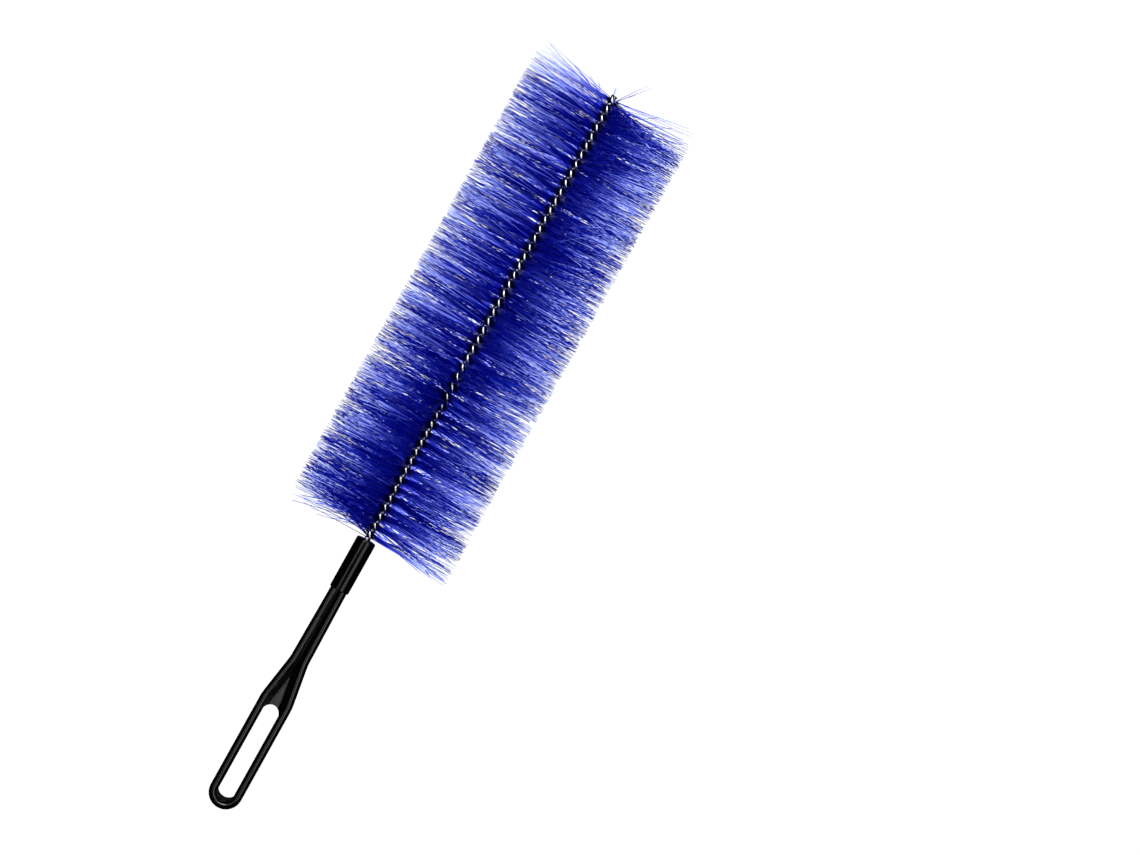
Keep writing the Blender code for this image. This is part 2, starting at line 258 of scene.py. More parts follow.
@dataclass(frozen=True)
class GrainedFinish:
    """A finish with an uneven surface and a patchy gloss.

    Attributes:
        name: the material's name.
        colour: the base colour.
        roughness: the least and the greatest roughness.
        metallic: 1 on metal and 0 on plastic.
        specular: the strength of the reflection on plastic.
        grain_scale: how many grains there are in a metre.
        grain_depth: how deep the grain is.
        patch_scale: how many patches of gloss there are in a metre.
    """

    name: str
    colour: Colour
    roughness: tuple[float, float]
    metallic: float
    specular: float
    grain_scale: float
    grain_depth: float
    patch_scale: float

    def material(self) -> bpy.types.Material:
        """Builds the material.

        Returns:
            The material.
        """
        material, tree, shader = new_material(self.name)
        shader.inputs["Base Color"].default_value = (*self.colour, 1.0)
        shader.inputs["Metallic"].default_value = self.metallic
        shader.inputs["Specular IOR Level"].default_value = self.specular
        where = add_node(tree, "ShaderNodeTexCoord")
        grain = add_node(tree, "ShaderNodeGroup", node_tree=surface_group("surface_grain", build_grain))
        grain.inputs["Grain Scale"].default_value = self.grain_scale
        grain.inputs["Patch Scale"].default_value = self.patch_scale
        grain.inputs["Roughness Low"].default_value = self.roughness[0]
        grain.inputs["Roughness High"].default_value = self.roughness[1]
        bump = add_node(tree, "ShaderNodeBump")
        bump.inputs["Distance"].default_value = self.grain_depth
        tree.links.new(where.outputs["Object"], grain.inputs["Vector"])
        tree.links.new(grain.outputs["Roughness"], shader.inputs["Roughness"])
        tree.links.new(grain.outputs["Height"], bump.inputs["Height"])
        tree.links.new(bump.outputs["Normal"], shader.inputs["Normal"])
        return material


def add_ramp(tree: bpy.types.NodeTree, stops: RampStops) -> bpy.types.Node:
    """Adds a colour ramp.

    Args:
        tree: the node tree.
        stops: the ramp's places from 0 to 1 in rising order, each with its colour.

    Returns:
        The new node.
    """
    ramp = add_node(tree, "ShaderNodeValToRGB")
    elements = ramp.color_ramp.elements
    elements[0].position, elements[1].position = stops[0][0], stops[-1][0]
    for place, _ in stops[1:-1]:
        elements.new(place)
    for element, (_, colour) in zip(elements, stops):
        element.color = (*colour, 1.0)
    return ramp


@dataclass(frozen=True)
class NylonFinish:
    """Translucent nylon filament, with painted shade that deepens its colour towards the core, painted light
    that pales it towards the tips, and a painted glow, strongest next to the floor, for the light shining
    through it from below.

    Attributes:
        name: the material's name.
        shades: the filaments' colours, from the darkest filament to the lightest.
        painted_depth_shading: painted shade and light: what a filament's colour is multiplied by, from the
            core to the cut tips, darker near the core where shade falls in the dense head and lighter at the
            sparse tips.
        roughness: the roughness.
        specular: the strength of the reflection.
        specular_tint: the colour of the reflection.
        painted_tip_light: painted light: how much lighter each filament is drawn from the axis to its tip, as
            a share of all shades, for the sparse tips that light shines through.
        glow: the painted glow: the share of its colour that a filament emits, standing in for light passed on
            from those round it.
        floor_glow: the same painted glow next to the floor, standing in for the floor's light shining
            through.
        painted_glow_reach: how high the painted glow from the floor reaches.
    """

    name: str
    shades: RampStops
    painted_depth_shading: RampStops
    roughness: float
    specular: float
    specular_tint: Colour
    painted_tip_light: float
    glow: float
    floor_glow: float
    painted_glow_reach: float

    def material(self, axis: BrushAxis, reach: float, tint: str) -> bpy.types.Material:
        """Builds the material.

        Args:
            axis: the brush's axis, which the painted shade and light run out from.
            reach: the head's radius.
            tint: the name of the attribute that tells one filament from another.

        Returns:
            The material.
        """
        material, tree, shader = new_material(self.name)
        shader.inputs["Roughness"].default_value = self.roughness
        shader.inputs["Specular IOR Level"].default_value = self.specular
        shader.inputs["Specular Tint"].default_value = (*self.specular_tint, 1.0)
        links = tree.links
        where = add_node(tree, "ShaderNodeTexCoord")
        centre = add_node(tree, "ShaderNodeMapping")
        centre.inputs["Location"].default_value = (0, 0, -axis.height / reach)
        centre.inputs["Scale"].default_value = (0, 1 / reach, 1 / reach)
        outward = add_node(tree, "ShaderNodeVectorMath", operation="LENGTH")
        # Painted shade and light: a ramp by distance from the axis darkens the colour near the core and
        # lightens it at the tips.
        depth = add_ramp(tree, self.painted_depth_shading)
        own = add_node(tree, "ShaderNodeAttribute", attribute_name=tint)
        # Painted light: each filament's tint is raised with distance from the axis, so the tips come out
        # paler.
        tint_and_tip_light = add_node(tree, "ShaderNodeMath", operation="MULTIPLY_ADD")
        tint_and_tip_light.inputs[1].default_value = self.painted_tip_light
        shade = add_ramp(tree, self.shades)
        colour = add_node(tree, "ShaderNodeVectorMath", operation="MULTIPLY")
        split = add_node(tree, "ShaderNodeSeparateXYZ")
        # Painted glow: the filaments emit part of their own colour, more of it next to the floor, in place of
        # light shining through them.
        painted_glow_strength = add_node(tree, "ShaderNodeMapRange")
        painted_glow_strength.inputs["From Max"].default_value = self.painted_glow_reach
        painted_glow_strength.inputs["To Min"].default_value = self.floor_glow
        painted_glow_strength.inputs["To Max"].default_value = self.glow
        painted_glow_colour = add_node(tree, "ShaderNodeVectorMath", operation="SCALE")
        shader.inputs["Emission Strength"].default_value = 1.0
        links.new(where.outputs["Object"], centre.inputs["Vector"])
        links.new(centre.outputs["Vector"], outward.inputs[0])
        links.new(outward.outputs["Value"], depth.inputs["Fac"])
        links.new(outward.outputs["Value"], tint_and_tip_light.inputs[0])
        links.new(own.outputs["Fac"], tint_and_tip_light.inputs[2])
        links.new(tint_and_tip_light.outputs["Value"], shade.inputs["Fac"])
        links.new(shade.outputs["Color"], colour.inputs[0])
        links.new(depth.outputs["Color"], colour.inputs[1])
        links.new(where.outputs["Object"], split.inputs["Vector"])
        links.new(split.outputs["Z"], painted_glow_strength.inputs["Value"])
        links.new(colour.outputs["Vector"], painted_glow_colour.inputs[0])
        links.new(painted_glow_strength.outputs["Result"], painted_glow_colour.inputs["Scale"])
        links.new(colour.outputs["Vector"], shader.inputs["Base Color"])
        links.new(painted_glow_colour.outputs["Vector"], shader.inputs["Emission Color"])
        return material


HANDLE_PLASTIC = GrainedFinish(
    name="gloss_black_handle",
    colour=(0.0005, 0.0006, 0.0006),
    roughness=(0.12, 0.2),
    metallic=0.0,
    specular=0.6,
    grain_scale=1400.0,
    grain_depth=0.000006,
    patch_scale=90.0,
)
SLEEVE_PLASTIC = GrainedFinish(
    name="gloss_black_sleeve",
    colour=(0.0005, 0.0006, 0.0006),
    roughness=(0.1, 0.16),
    metallic=0.0,
    specular=0.34,
    grain_scale=1100.0,
    grain_depth=0.000005,
    patch_scale=110.0,
)
DRAWN_WIRE = GrainedFinish(
    name="drawn_steel_wire",
    colour=(0.86, 0.87, 0.88),
    roughness=(0.14, 0.19),
    metallic=1.0,
    specular=0.5,
    grain_scale=2600.0,
    grain_depth=0.000006,
    patch_scale=400.0,
)
BLUE_NYLON = NylonFinish(
    name="blue_nylon",
    shades=(
        (0.0, (0.0001, 0.0005, 0.105)),
        (0.5, (0.0003, 0.0012, 0.15)),
        (0.75, (0.004, 0.009, 0.25)),
        (0.92, (0.06, 0.075, 0.50)),
        (1.0, (0.23, 0.27, 0.78)),
    ),
    # Painted shade near the core, darkest at the first stop, and painted light towards the cut tips.
    painted_depth_shading=(
        (0.055, (0.01, 0.01, 0.03)),
        (0.11, (0.1, 0.15, 0.8)),
        (0.5, (0.75, 0.8, 1.0)),
        (0.92, (1.45, 1.55, 1.2)),
        (1.0, (2.0, 2.1, 1.4)),
    ),
    roughness=0.3,
    specular=0.12,
    specular_tint=(0.15, 0.2, 1.0),
    # Painted light that pales the tips.
    painted_tip_light=0.22,
    # Painted glow for light shining through the nylon, strongest next to the floor.
    glow=0.45,
    floor_glow=1.4,
    painted_glow_reach=0.036,
)


@dataclass
class LoopHandle:
    """The moulded handle: two rails that close from the loop into a stem, with a web between them."""

    axis: BrushAxis
    # The two rails, which close over the shoulder into the stem.
    loop_width: float = 0.0162
    rail_width: float = 0.0041
    rail_height: float = 0.0054
    shoulder_length: float = 0.026
    shoulder_corner: float = 0.17
    stem_groove: float = 0.0001
    stem_taper: float = 0.0005
    # The hanging slot, and the webs that fill the gap between the rails at its two ends.
    slot_length: float = 0.0484
    slot_end_wall: float = 0.0059
    slot_arch_rise: float = 0.0056
    web_thickness: float = 0.0015
    web_sink: float = 0.0005
    web_foot: float = 0.00405
    web_slope: float = math.radians(27.5)
    web_meet: float = 0.001
    web_start: float = -0.0238
    # The tang inside the sleeve, with the core's bore.
    sleeve_start: float = -0.0268
    tang_core_diameter: float = 0.0062
    tang_core_length: float = 0.0233
    tang_end: float = -0.0015
    tang_nose_length: float = 0.001
    core_bore: float = 0.0038
    bore_depth: float = 0.0213
    cut_overrun: float = 0.002
    # How finely it is built.
    rail_sides: int = 32
    shoulder_steps: int = 48
    arc_steps: int = 41
    rod_sides: int = 48
    web_steps_along: int = 70
    web_steps_across: int = 36
    sharp_angle: float = math.radians(38)

    @cached_property
    def loop_end(self) -> float:
        """The place of the loop's far end."""
        return self.axis.place_of(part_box("handle")[0].x)

    @property
    def loop_length(self) -> float:
        """The distance from the loop's end to where the rails begin to close."""
        return self.slot_end_wall + self.slot_length

    @property
    def loop_offset(self) -> float:
        """The distance of a rail's middle from the axis, in the loop."""
        return (self.loop_width - self.rail_width) / 2

    @property
    def stem_offset(self) -> float:
        """The distance of a rail's middle from the axis, in the stem."""
        return (self.rail_width + self.stem_groove) / 2

    @property
    def slot_half_width(self) -> float:
        """Half the width of the hanging slot."""
        return self.loop_width / 2 - self.rail_width

    def rail_offset(self, place: float) -> float:
        """Gives the distance of a rail's middle from the axis.

        Args:
            place: a place along the brush.

        Returns:
            The distance.
        """
        shoulder_start = self.loop_end + self.loop_length
        neck = self.stem_offset + self.stem_taper
        if place > shoulder_start + self.shoulder_length:
            stem_start = shoulder_start + self.shoulder_length
            share = min(1.0, (place - stem_start) / (self.sleeve_start - stem_start))
            return neck - self.stem_taper * share
        share = max(0.0, place - shoulder_start) / self.shoulder_length
        corner = self.shoulder_corner
        if share < corner:
            blend = share**2 / (2 * corner * (1 - corner))
        elif share > 1 - corner:
            blend = 1 - (1 - share) ** 2 / (2 * corner * (1 - corner))
        else:
            blend = (share - corner / 2) / (1 - corner)
        return self.loop_offset + (neck - self.loop_offset) * blend

    def rail_side(self, end: float) -> list[Vector]:
        """Gives one rail's centre line from its end in the sleeve to where the loop begins.

        Args:
            end: the place where the line ends in the sleeve.

        Returns:
            The line's points.
        """
        places = [end, self.sleeve_start]
        for step in range(self.shoulder_steps + 1):
            share = 1 - step / self.shoulder_steps
            places.append(self.loop_end + self.loop_length + self.shoulder_length * share)
        return [Vector((place, self.rail_offset(place), 0)) for place in places]

    def arc(self, centre: float, half_width: float, rise: float, way: int) -> list[Vector]:
        """Gives half an ellipse round a point of the axis, from +Y to -Y.

        Args:
            centre: the place of the ellipse's middle.
            half_width: its half width across the axis.
            rise: its half length along the axis.
            way: 1 for the half towards the head and -1 for the one towards the loop's end.

        Returns:
            The arc's points.
        """
        points = []
        for step in range(self.arc_steps + 1):
            angle = math.pi / 2 - math.pi * step / self.arc_steps
            points.append(Vector((centre + way * rise * math.cos(angle), half_width * math.sin(angle), 0)))
        return points

    def bend(self) -> list[Vector]:
        """Gives the rails' centre line round the loop's end."""
        return self.arc(self.loop_end + self.loop_width / 2, self.loop_offset, self.loop_offset, -1)

    @staticmethod
    def mirrored(points: list[Vector]) -> list[Vector]:
        """Gives the same points on the other side of the axis, in the other order."""
        return [Vector((point.x, -point.y, 0)) for point in reversed(points)]

    def rails(self) -> bmesh.types.BMesh:
        """Sweeps an oval along both rails.

        Returns:
            The shape of both, as one hairpin.
        """
        side = self.rail_side(self.tang_end - self.tang_nose_length)
        path = side + self.bend() + self.mirrored(side)
        places = []
        for index, point in enumerate(path):
            before = path[max(index - 1, 0)]
            after = path[min(index + 1, len(path) - 1)]
            heading = math.atan2(after.y - before.y, after.x - before.x)
            places.append(Matrix.Translation(point) @ Matrix.Rotation(heading, 4, "Z") @ TURN_X_TO_Z)
        shape = bmesh.new()
        oval = Matrix.Diagonal((self.rail_height / 2, self.rail_width / 2, 1, 1))
        start = places[0] @ oval
        ring = bmesh.ops.create_circle(shape, segments=self.rail_sides, radius=1, matrix=start)["verts"]
        grow_tube(shape, ring, places)
        return shape

    def plate(self, outline: list[Vector]) -> bmesh.types.BMesh:
        """Extrudes an outline into a plate of the web's thickness.

        Args:
            outline: the outline's corners.

        Returns:
            The plate's shape.
        """
        shape = bmesh.new()
        corners = [shape.verts.new((point.x, point.y, -self.web_thickness / 2)) for point in outline]
        shape.faces.new(corners)
        grown = bmesh.ops.extrude_face_region(shape, geom=list(shape.faces))["geom"]
        top = [item for item in grown if isinstance(item, bmesh.types.BMVert)]
        bmesh.ops.translate(shape, vec=(0, 0, self.web_thickness), verts=top)
        bmesh.ops.recalc_face_normals(shape, faces=shape.faces)
        return shape

    def web_height(self, distance: float) -> float:
        """Gives the web's height over the middle plane, with a steep flank up to the rail.

        Args:
            distance: the distance from the rail's middle.

        Returns:
            The height.
        """
        climb = max(0.0, self.web_foot - max(distance, self.web_meet))
        return self.web_thickness / 2 + climb * math.tan(self.web_slope)

    def web(self) -> bmesh.types.BMesh:
        """Builds the web between the rails, from the tang to the arched end of the slot.

        Returns:
            The web's shape.
        """
        flank = self.loop_end + self.loop_length - self.slot_arch_rise
        half_arch = self.slot_half_width + self.web_sink
        shape = bmesh.new()
        bmesh.ops.create_grid(
            shape,
            x_segments=self.web_steps_along,
            y_segments=self.web_steps_across,
            size=1,
        )
        for corner in shape.verts:
            along = (corner.co.x + 1) / 2
            across = corner.co.y
            bow = math.sqrt(max(0.0, 1 - (across * self.loop_offset / half_arch) ** 2))
            end = flank + self.slot_arch_rise * bow
            place = self.web_start + (end - self.web_start) * along
            offset = self.rail_offset(place)
            height = self.web_height(offset * (1 - abs(across)))
            corner.co = (place, offset * across, height)
        grown = bmesh.ops.extrude_face_region(shape, geom=list(shape.faces))["geom"]
        for item in grown:
            if isinstance(item, bmesh.types.BMVert):
                item.co.z = -item.co.z
        bmesh.ops.recalc_face_normals(shape, faces=shape.faces)
        return shape

    def lip(self) -> bmesh.types.BMesh:
        """Builds the crescent of web inside the loop's round end.

        Returns:
            The crescent's shape.
        """
        centre = self.loop_end + self.slot_end_wall + self.slot_half_width
        inner = self.arc(centre, self.slot_half_width + self.web_sink, self.slot_half_width, -1)
        corner = Vector((centre, self.loop_offset, 0))
        return self.plate([corner] + self.bend() + self.mirrored([corner]) + list(reversed(inner)))

    def rod(self, start: float, end: float, diameter: float) -> bmesh.types.BMesh:
        """Builds a round rod on the axis.

        Args:
            start: the place of its end nearer the loop.
            end: the place of its other end.
            diameter: its diameter.

        Returns:
            The rod's shape.
        """
        shape = bmesh.new()
        turn = TURN_X_TO_Z @ Matrix.Rotation(math.pi / self.rod_sides, 4, "Z")
        bmesh.ops.create_cone(
            shape,
            cap_ends=True,
            segments=self.rod_sides,
            radius1=diameter / 2,
            radius2=diameter / 2,
            depth=end - start,
            matrix=Matrix.Translation(((start + end) / 2, 0, 0)) @ turn,
        )
        return shape

    def build(self) -> bpy.types.Object:
        """Joins the rails, the webs and the tang into one moulding with the core's blind bore.

        Returns:
            The handle.
        """
        material = HANDLE_PLASTIC.material()
        handle = link_mesh(self.rails(), "handle_moulding", material, self.sharp_angle)
        tang_start = self.tang_end - self.tang_core_length
        bore_start = self.tang_end - self.bore_depth
        others = [
            (self.web(), "UNION"),
            (self.lip(), "UNION"),
            (self.rod(tang_start, self.tang_end, self.tang_core_diameter), "UNION"),
            (self.rod(bore_start, self.tang_end + self.cut_overrun, self.core_bore), "DIFFERENCE"),
        ]
        cutters = []
        for shape, operation in others:
            cutter = link_mesh(shape, "handle_cutter", material, self.sharp_angle)
            modifier = handle.modifiers.new(operation.lower(), "BOOLEAN")
            modifier.operation = operation
            modifier.solver = "EXACT"
            modifier.object = cutter
            cutters.append(cutter)
        bpy.context.view_layer.update()
        joined = bpy.data.meshes.new_from_object(handle.evaluated_get(bpy.context.evaluated_depsgraph_get()))
        handle.modifiers.clear()
        handle.data = joined
        for cutter in cutters:
            bpy.data.objects.remove(cutter, do_unlink=True)
        joined.transform(self.axis.matrix())
        joined.shade_smooth()
        joined.set_sharp_from_angle(angle=self.sharp_angle)
        return fit_piece(handle, "handle")


@dataclass
class Sleeve:
    """The turned sleeve over the joint between the stem and the core."""

    axis: BrushAxis
    wall: float = 0.0005
    end_wall: float = 0.0012
    chamfer: float = 0.0003
    mouth_round: float = 0.001
    core_hole: float = 0.0038
    round_steps: int = 6
    turn_steps: int = 96
    sharp_angle: float = math.radians(32)

    def profile(self, length: float, radius: float) -> list[Vector]:
        """Gives the sleeve's section as places along the axis and distances from it.

        Args:
            length: the sleeve's length.
            radius: its outer radius.

        Returns:
            The section's corners.
        """
        points = [Vector((-length, 0, radius - self.chamfer)), Vector((self.chamfer - length, 0, radius))]
        for step in range(self.round_steps + 1):
            angle = math.pi / 2 * step / self.round_steps
            along = self.mouth_round * (math.sin(angle) - 1)
            across = radius - self.mouth_round * (1 - math.cos(angle))
            points.append(Vector((along, 0, across)))
        points += [Vector((0, 0, self.core_hole / 2)), Vector((-self.end_wall, 0, self.core_hole / 2))]
        points += [Vector((-self.end_wall, 0, radius - self.wall)), Vector((-length, 0, radius - self.wall))]
        return points

    def build(self) -> bpy.types.Object:
        """Turns the section round the axis.

        Returns:
            The sleeve.
        """
        low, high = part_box("sleeve")
        shape = bmesh.new()
        corners = [shape.verts.new(point) for point in self.profile(high.x - low.x, (high.y - low.y) / 2)]
        edges = [shape.edges.new(pair) for pair in zip(corners, corners[1:] + corners[:1])]
        bmesh.ops.spin(
            shape,
            geom=corners + edges,
            cent=(0, 0, 0),
            axis=(1, 0, 0),
            angle=math.tau,
            steps=self.turn_steps,
            use_merge=True,
        )
        bmesh.ops.recalc_face_normals(shape, faces=shape.faces)
        bmesh.ops.transform(shape, matrix=self.axis.matrix(), verts=shape.verts)
        sleeve = link_mesh(shape, "sleeve_moulding", SLEEVE_PLASTIC.material(), self.sharp_angle)
        return fit_piece(sleeve, "sleeve")


@dataclass
class TwistedCore:
    """The two wires of the core, twisted together with a left-hand lay."""

    axis: BrushAxis
    wire_diameter: float = 0.0016
    lead: float = 0.00984
    phase: float = math.radians(6.6)
    wire_sides: int = 14
    steps_per_turn: int = 28
    sharp_angle: float = math.radians(50)

    def twist(self, place: float) -> float:
        """Gives the first wire's angle round the axis at a place along the brush."""
        return self.phase - math.tau * place / self.lead

    def wire(
        self,
        name: str,
        node: str,
        start_angle: float,
        material: bpy.types.Material,
    ) -> bpy.types.Object:
        """Draws one wire as a circle screwed along the axis.

        Args:
            name: the piece's name.
            node: the solid that it stands for.
            start_angle: the wire's angle round the axis against the first wire's.
            material: the wire's finish.

        Returns:
            The wire.
        """
        low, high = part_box(node)
        helix_radius = (high.y - low.y - self.wire_diameter) / 2
        first = self.axis.place_of(low.x)
        last = self.axis.place_of(high.x)
        turns = (last - first) / self.lead
        steps = round(turns * self.steps_per_turn)
        slope = math.atan(math.tau * helix_radius / self.lead)
        start = (
            Matrix.Translation((first, 0, 0))
            @ Matrix.Rotation(start_angle + self.twist(first), 4, "X")
            @ Matrix.Translation((0, helix_radius, 0))
            @ Matrix.Rotation(slope, 4, "Y")
            @ TURN_X_TO_Z
        )
        screw = Matrix.Translation(((last - first) / steps, 0, 0)) @ Matrix.Rotation(
            -math.tau * turns / steps, 4, "X"
        )
        places = [start]
        for _ in range(steps):
            places.append(screw @ places[-1])
        shape = bmesh.new()
        ring = bmesh.ops.create_circle(
            shape, segments=self.wire_sides, radius=self.wire_diameter / 2, matrix=start
        )["verts"]
        grow_tube(shape, ring, places)
        bmesh.ops.recalc_face_normals(shape, faces=shape.faces)
        bmesh.ops.transform(shape, matrix=self.axis.matrix(), verts=shape.verts)
        return fit_piece(link_mesh(shape, name, material, self.sharp_angle), node)

    def build(self) -> list[bpy.types.Object]:
        """Draws both wires."""
        material = DRAWN_WIRE.material()
        return [
            self.wire("wire_strand_a", "wire_a", 0, material),
            self.wire("wire_strand_b", "wire_b", math.pi, material),
        ]


def upward(angle: float) -> float:
    """Gives how steeply an angle round the axis points up: 1 is upright, and 0 is level or below."""
    return max(0.0, math.sin(angle))


def downward(angle: float) -> float:
    """Gives how steeply an angle round the axis points down: 1 is straight down, and 0 is level or above."""
    return max(0.0, -math.sin(angle))


def shared_noise(place: float, angle: float, length: float, spread: float) -> float:
    """Gives a random number from about -1 to 1 that changes gradually along the brush and round its axis."""
    return noise.noise(Vector((place / length, spread * math.cos(angle), spread * math.sin(angle))))


@dataclass
class Strand:
    """One half of a filament, from its pinched middle out to its cut tip.

    Attributes:
        root: where it leaves the core.
        outward: the way in which it leaves.
        lean: how far it leans along the axis.
        bend: how far its tip bends along the axis, as a share of its length.
        swing: how far its tip bends round the axis, as a share of its length.
        length: its length.
        taper: its tip's width, as a share of the width at its middle.
        tint: its share of lightness: a random tone, with painted shade and painted light added.
    """

    root: Vector
    outward: Vector
    lean: float
    bend: float
    swing: float
    length: float
    taper: float
    tint: float

    def width(self, share: float) -> float:
        """Gives its width at a share of its length, as a share of the width at its middle."""
        return 1 + (self.taper - 1) * share

    def point(self, share: float) -> Vector:
        """Gives a point of its centre line.

        Args:
            share: the point's share of the strand's length.

        Returns:
            The point, in the axis's own coordinates.
        """
        reach = share * self.length
        along = Vector((1, 0, 0))
        around = along.cross(self.outward)
        straight = self.outward * math.cos(self.lean) + along * math.sin(self.lean)
        curve = (along * self.bend + around * self.swing) * share * share * self.length
        return self.root + straight * reach + curve


@dataclass(frozen=True)
class Parting:
    """The combed top: its strands lie to +Y next to the handle and to -Y further out, and bare the wires.

    Attributes:
        begins: the angle from which strands are combed, from the side that they are combed away from.
        swing: how much higher the parting begins where the strands lie to -Y, and lower where they lie to +Y.
        ends: the angle down to which the first combed strand is brought.
        press: how far the strands on the other side are pressed down.
        turning: the place along the brush where the combing changes sides.
        blend: how gradually it changes there.
    """

    begins: float = math.radians(58)
    swing: float = math.radians(6)
    ends: float = math.radians(99)
    press: float = math.radians(14)
    turning: float = 0.083
    blend: float = 0.012

    def way_at(self, place: float) -> float:
        """Tells how a place along the brush is combed, from -1 towards +Y to 1 towards -Y."""
        return math.tanh((place - self.turning) / self.blend)

    def combed(self, angle: float, way: float) -> float:
        """Gives how far a strand is combed down from the top.

        Args:
            angle: its angle from the side that it is combed away from.
            way: how its place is combed, from -1 to 1.

        Returns:
            The angle to add, towards the side that it is combed to.
        """
        if math.sin(angle) <= 0:
            return 0.0
        angle %= math.tau
        begins = self.begins + way * self.swing
        if angle < begins:
            return -2 * self.press * math.sin(angle) * math.cos(angle) if way > 0 else 0.0
        share = (angle - begins) / (math.pi - begins)
        return self.ends + share * (math.pi - self.ends) - angle


@dataclass(frozen=True)
class Underside:
    """What sets the strands that point down apart from the others.

    Attributes:
        turn: how much further they stray round the axis.
        lean: how much further they stray along it.
        calm: the share of the straying round the axis that is left where the top is combed to +Y.
        taper: their tips' width, as a share of the width at their middle.
        tint: painted light: how much lighter they are drawn, standing in for the floor's light shining
            through them.
    """

    turn: float = math.radians(18.0)
    lean: float = math.radians(5.0)
    calm: float = 0.35
    taper: float = 2.8
    tint: float = 0.9

    def straying(self, angle: float, way: float) -> float:
        """Gives how much further a strand strays round the axis, where the top is combed this way."""
        return self.turn * (downward(angle) * (self.calm + (1 - self.calm) * (1 + way) / 2))


@dataclass(frozen=True)
class HeadEnds:
    """How the strands fan out at the head's two ends.

    Attributes:
        length: how much of the head counts as an end.
        thinning: the share of filaments that is missing at the very end.
        mouth_spread: how far the strands lean back over the handle.
        tip_spread: how far they lean out past the wires' tip.
        tip_lean_most: the furthest that they lean out there.
        cross_share: the share that leans inwards instead, on the side that the top is combed to.
        cross_lean: the furthest that these lean.
        cross_least: the least that these lean, as a share of the furthest.
        tint: painted light: how much lighter the strands that lean outwards are drawn, standing in for light
            shining through the thin ends.
        tip_reach: how far past the last root a strand may reach.
        back_most: how far a level strand at the mouth may lean back.
        back_rise: how far an upright strand there has to lean forwards.
        sleeve_clear: how far in front of the mouth a strand over the sleeve stays.
        sleeve_beside: how far beside the axis a strand counts as over the sleeve.
    """

    length: float = 0.010
    thinning: float = 0.6
    mouth_spread: float = math.radians(2.0)
    tip_spread: float = math.radians(13.0)
    tip_lean_most: float = math.radians(15.0)
    cross_share: float = 0.8
    cross_lean: float = math.radians(26.0)
    cross_least: float = 0.6
    tint: float = 0.9
    tip_reach: float = 0.010
    back_most: float = math.radians(1.5)
    back_rise: float = math.radians(3.0)
    sleeve_clear: float = 0.0055
    sleeve_beside: float = 0.012

    def lean(self, end: float, angle: float, chance: random.Random) -> float:
        """Gives how far a strand leans because it is at an end.

        Args:
            end: how near the strand is to an end: -1 at the mouth, 1 at the tip and 0 between them.
            angle: its angle round the axis.
            chance: the source of random numbers.

        Returns:
            The angle, positive towards the tip. Few strands lean far out.
        """
        if end * math.cos(angle) < 0 and chance.random() < self.cross_share:
            return -end * self.cross_lean * chance.uniform(self.cross_least, 1.0)
        if end < 0:
            return end * abs(chance.gauss(0, self.mouth_spread))
        return end * min(self.tip_lean_most, abs(chance.gauss(0, self.tip_spread)) * chance.random() ** 2)

    def held(self, lean: float, angle: float, place: float, last: float, reach: float) -> float:
        """Keeps a strand off the sleeve and from reaching too far past either end.

        Args:
            lean: how far the strand would lean.
            angle: its angle round the axis.
            place: its place along the brush.
            last: the place of the last filament.
            reach: the head's radius.

        Returns:
            How far it leans.
        """
        least = self.back_rise * upward(angle) - self.back_most * abs(math.cos(angle))
        lean = max(lean, least - place / reach)
        lean = min(lean, (last + self.tip_reach - place) / reach)
        if math.sin(angle) > 0 and abs(math.cos(angle)) * reach < self.sleeve_beside:
            lean = max(lean, (self.sleeve_clear - place) / reach)
        return lean


@dataclass(frozen=True)
class Tints:
    """How light each strand is, from 0 to 1: a random tone, with painted shade on the upright strands and
    painted light on the strands that light shines through.

    Attributes:
        middle: the usual lightness.
        own: the range over which single strands differ.
        lock: how far the strands of a lock differ from those of another.
        lock_length: a lock's length along the brush.
        lock_spread: how fast the locks change round the axis.
        painted_top_shade: painted shade: how much darker the upright strands are drawn, standing in for the
            shade among them.
        top_narrowness: how narrow that darker stretch is round the axis, as a power.
    """

    middle: float = 0.5
    own: float = 0.9
    lock: float = 0.7
    lock_length: float = 0.0012
    lock_spread: float = 3.0
    painted_top_shade: float = 0.5
    top_narrowness: int = 4

    def draw(self, place: float, angle: float, lighter: float, chance: random.Random) -> float:
        """Draws a strand's lightness.

        Args:
            place: the strand's place along the brush.
            angle: its angle round the axis.
            lighter: the painted light on the strand: the share by which it is brought nearer to full
                lightness.
            chance: the source of random numbers.

        Returns:
            The lightness.
        """
        tint = self.middle + self.own * (chance.random() - 0.5)
        tint += self.lock * shared_noise(place, angle, self.lock_length, self.lock_spread)
        # Painted shade darkens the upright strands, and painted light brings strands that light shines
        # through nearer to full lightness.
        tint = min(1.0, max(0.0, tint)) * (1 - self.painted_top_shade * upward(angle) ** self.top_narrowness)
        return tint + (1 - tint) * lighter


